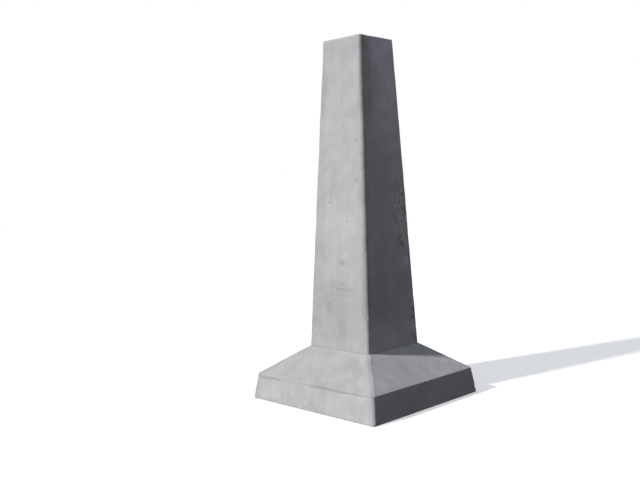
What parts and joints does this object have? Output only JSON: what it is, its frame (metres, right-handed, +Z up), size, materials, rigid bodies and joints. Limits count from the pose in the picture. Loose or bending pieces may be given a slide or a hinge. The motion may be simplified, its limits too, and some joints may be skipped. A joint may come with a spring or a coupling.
{
  "type": "concrete foundation pier",
  "caption": "Tapered square precast concrete pier on a pyramid foot, with a steel cage inside and a plugged threaded socket in its head.",
  "frame": {"origin": "middle of the soffit, on the ground plane", "axes": "+Z up the shaft; X and Y square to the faces of the shaft and foot"},
  "size_m": [0.41, 0.41, 0.9],
  "materials": {
    "concrete": "matte, formed grey concrete",
    "rebar_steel": "hot rolled, lightly rusted",
    "zinc_plated_steel": "zinc plated, satin",
    "spacer_plastic": "matte moulded grey plastic",
    "plug_plastic": "matte moulded black plastic"
  },
  "bodies": {
    "pillar": {"concrete_pillar": "concrete", "main_bar_1": "rebar_steel", "main_bar_2": "rebar_steel", "main_bar_3": "rebar_steel", "main_bar_4": "rebar_steel", "link_1": "rebar_steel", "link_2": "rebar_steel", "link_3": "rebar_steel", "link_4": "rebar_steel", "link_5": "rebar_steel", "link_6": "rebar_steel", "mat_bar_lower_1": "rebar_steel", "mat_bar_lower_2": "rebar_steel", "mat_bar_lower_3": "rebar_steel", "mat_bar_lower_4": "rebar_steel", "mat_bar_upper_1": "rebar_steel", "mat_bar_upper_2": "rebar_steel", "mat_bar_upper_3": "rebar_steel", "mat_bar_upper_4": "rebar_steel", "socket_cross_bar": "rebar_steel", "wheel_spacer_1": "spacer_plastic", "wheel_spacer_2": "spacer_plastic", "wheel_spacer_3": "spacer_plastic", "wheel_spacer_4": "spacer_plastic", "wheel_spacer_5": "spacer_plastic", "wheel_spacer_6": "spacer_plastic", "wheel_spacer_7": "spacer_plastic", "wheel_spacer_8": "spacer_plastic", "mat_chair_1": "spacer_plastic", "mat_chair_2": "spacer_plastic", "mat_chair_3": "spacer_plastic", "mat_chair_4": "spacer_plastic", "threaded_socket": "zinc_plated_steel"},
    "plug": {"socket_plug": "plug_plastic"}
  },
  "joints": [
    {"name": "plug_pull", "type": "slide", "parent": "pillar", "child": "plug", "axis": [0, 0, 1], "range_m": [0, 0.06]}
  ]
}
